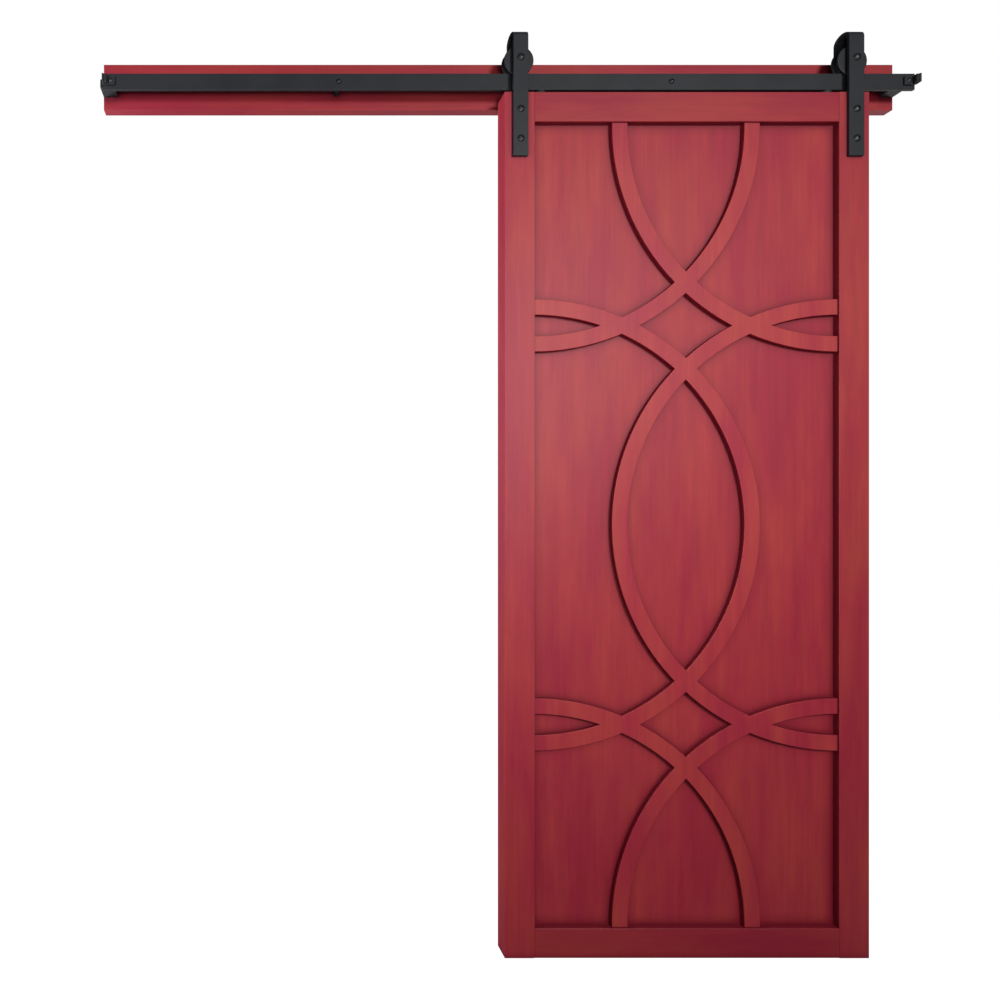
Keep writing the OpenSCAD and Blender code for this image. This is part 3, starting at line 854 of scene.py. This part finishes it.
# %% Fretwork outline
RING_R = 538.5 * MM
RING_INSET = 8.5 * MM
STRIP_W = 38.5 * MM
STEP = 6 * MM
opening_low = np.array([corners_of("left_stile")[1][0], corners_of("bottom_rail")[1][2]])
opening_high = np.array([corners_of("right_stile")[0][0], corners_of("top_rail")[0][2]])
sheet_low, sheet_high = corners_of("fretwork")
clip_low, clip_high = sheet_low[[0, 2]], sheet_high[[0, 2]]
middle_z = (opening_low[1] + opening_high[1]) / 2
row_z = middle_z + np.array([-1, 0, 1]) * ((opening_high[1] - opening_low[1]) / 2 - RING_INSET)
ring_centres = np.array([(x, z) for x in (opening_low[0], opening_high[0]) for z in row_z])
RADII = (RING_R + STRIP_W / 2, RING_R - STRIP_W / 2)


def inside_ring(point, skip=None):
    """Whether a point lies within the strip of any ring but the one to skip."""
    far = np.linalg.norm(ring_centres - point, axis=1)
    within = np.abs(far - RING_R) < STRIP_W / 2 - 1e-7
    if skip is not None:
        within[skip] = False
    return bool(within.any())


def circle_meets(centre, radius):
    """Angles on a circle where it crosses the other rings' circles and the sheet's sides."""
    angles = []
    for other in ring_centres:
        gap = np.linalg.norm(other - centre)
        for reach in RADII:
            if gap > 1e-9 and abs(radius - reach) < gap < radius + reach:
                lean = math.acos((radius ** 2 + gap ** 2 - reach ** 2) / (2 * radius * gap))
                towards = math.atan2(*(other - centre)[::-1])
                angles += [towards - lean, towards + lean]
    for axis, first in ((0, 0.0), (1, math.pi / 2)):
        for side in (clip_low[axis], clip_high[axis]):
            part = (side - centre[axis]) / radius
            if abs(part) < 1:
                angles += [first + math.acos(part), first - math.acos(part)]
    return np.unique(np.round(np.mod(angles, 2 * math.pi), 9))


def on_circle(centre, radius, angle):
    """Points of a circle at given angles."""
    return centre + radius * np.stack([np.cos(angle), np.sin(angle)], -1)


def circle_stretches(index, radius, outward):
    """The stretches of one circle that belong to the outline, each as points and the normals
    that point out of the wood. Outer circles run anticlockwise and inner ones clockwise."""
    centre = ring_centres[index]
    cuts = circle_meets(centre, radius)
    kept = []
    for start, end in zip(cuts, np.roll(cuts, -1)):
        end += 2 * math.pi * (end <= start)
        probe = on_circle(centre, radius, (start + end) / 2)
        if (probe < clip_low).any() or (probe > clip_high).any() or inside_ring(probe, index):
            continue
        count = max(2, math.ceil((end - start) * radius / STEP) + 1)
        angle = np.linspace(start, end, count)[::outward]
        points = on_circle(centre, radius, angle)
        kept.append((points, outward * (points - centre) / radius))
    return kept


def side_stretches(start, end):
    """The stretches of one straight side of the sheet that lie inside a ring's strip."""
    along = end - start
    places = [0.0, 1.0]
    for centre in ring_centres:
        for radius in RADII:
            a, b = along @ along, 2 * along @ (start - centre)
            c = (start - centre) @ (start - centre) - radius ** 2
            root = b * b - 4 * a * c
            if root > 0:
                places += [(-b - math.sqrt(root)) / (2 * a), (-b + math.sqrt(root)) / (2 * a)]
    places = sorted(t for t in places if 0 <= t <= 1)
    normal = unit(np.array([along[1], -along[0]]))
    return [(start + np.outer((t, u), along), np.stack([normal, normal]))
            for t, u in zip(places, places[1:]) if u - t > 1e-9
            and inside_ring(start + (t + u) / 2 * along)]


stretches = []
for index in range(len(ring_centres)):
    stretches += circle_stretches(index, RADII[0], 1) + circle_stretches(index, RADII[1], -1)
sheet = np.array([clip_low, (clip_high[0], clip_low[1]), clip_high, (clip_low[0], clip_high[1])])
for start, end in zip(sheet, np.roll(sheet, -1, 0)):
    stretches += side_stretches(start, end)
print("stretches of the outline:", len(stretches))


# %% Fretwork loops
def closed_loops(stretches):
    """Stretches joined end to end into closed loops of points and mitre vectors. Where two
    stretches meet, the mitre is (n1 + n2) / (1 + n1 . n2), so both sides move in equally."""
    left = list(stretches)
    loops = []
    while left:
        chain = [left.pop(0)]
        while np.linalg.norm(chain[-1][0][-1] - chain[0][0][0]) > 1e-5:
            gaps = [np.linalg.norm(one[0][0] - chain[-1][0][-1]) for one in left]
            chain.append(left.pop(int(np.argmin(gaps))))
        points = np.concatenate([one[0][:-1] for one in chain])
        normals = []
        for last, one in zip([chain[-1]] + chain[:-1], chain):
            before, after = last[1][-1], one[1][0]
            corner = (before + after) / (1 + before @ after)
            normals.append(np.concatenate([corner[None], one[1][1:-1]]))
        loops.append((points, np.concatenate(normals)))
    return loops


ROUND_OVER = 1.3 * MM
turn = np.linspace(0, math.pi / 2, 5)
wall_y = np.concatenate([[sheet_high[1]], sheet_low[1] + ROUND_OVER * (1 - np.sin(turn))])
inset = np.concatenate([[0], ROUND_OVER * (1 - np.cos(turn))])
parts = []
fills = []
count = 0
for points, normals in closed_loops(stretches):
    flat = points - inset[:, None, None] * normals
    rows, cols = flat.shape[:2]
    y = np.broadcast_to(wall_y[:, None], (rows, cols))
    parts.append((np.stack([flat[..., 0], y, flat[..., 1]], -1).reshape(-1, 3), grid_faces(rows, cols)))
    fills.append((flat[-1], count + (rows - 1) * cols, flat[0], count))
    count += rows * cols
points, faces = joined(parts)


def fill_plane(loops):
    """Triangles that fill closed loops with holes, as indices into the piece's points. Each
    loop comes as its flat points and the index of its first point."""
    flat = [[Vector((x, z, 0)) for x, z in loop] for loop, _ in loops]
    index = np.concatenate([np.arange(len(loop)) + first for loop, first in loops])
    return [[int(index[corner]) for corner in triangle] for triangle in tessellate_polygon(flat)]


caps = fill_plane([(front, first) for front, first, _, _ in fills])
caps += fill_plane([(back, first) for _, _, back, first in fills])
fret = add_piece("fretwork_cut", points, faces, "door", "stained_wood", wood["fretwork"],
                 ["fretwork"], caps=caps)
even_shading(fret)
print("loops:", len(fills), "points:", len(points))
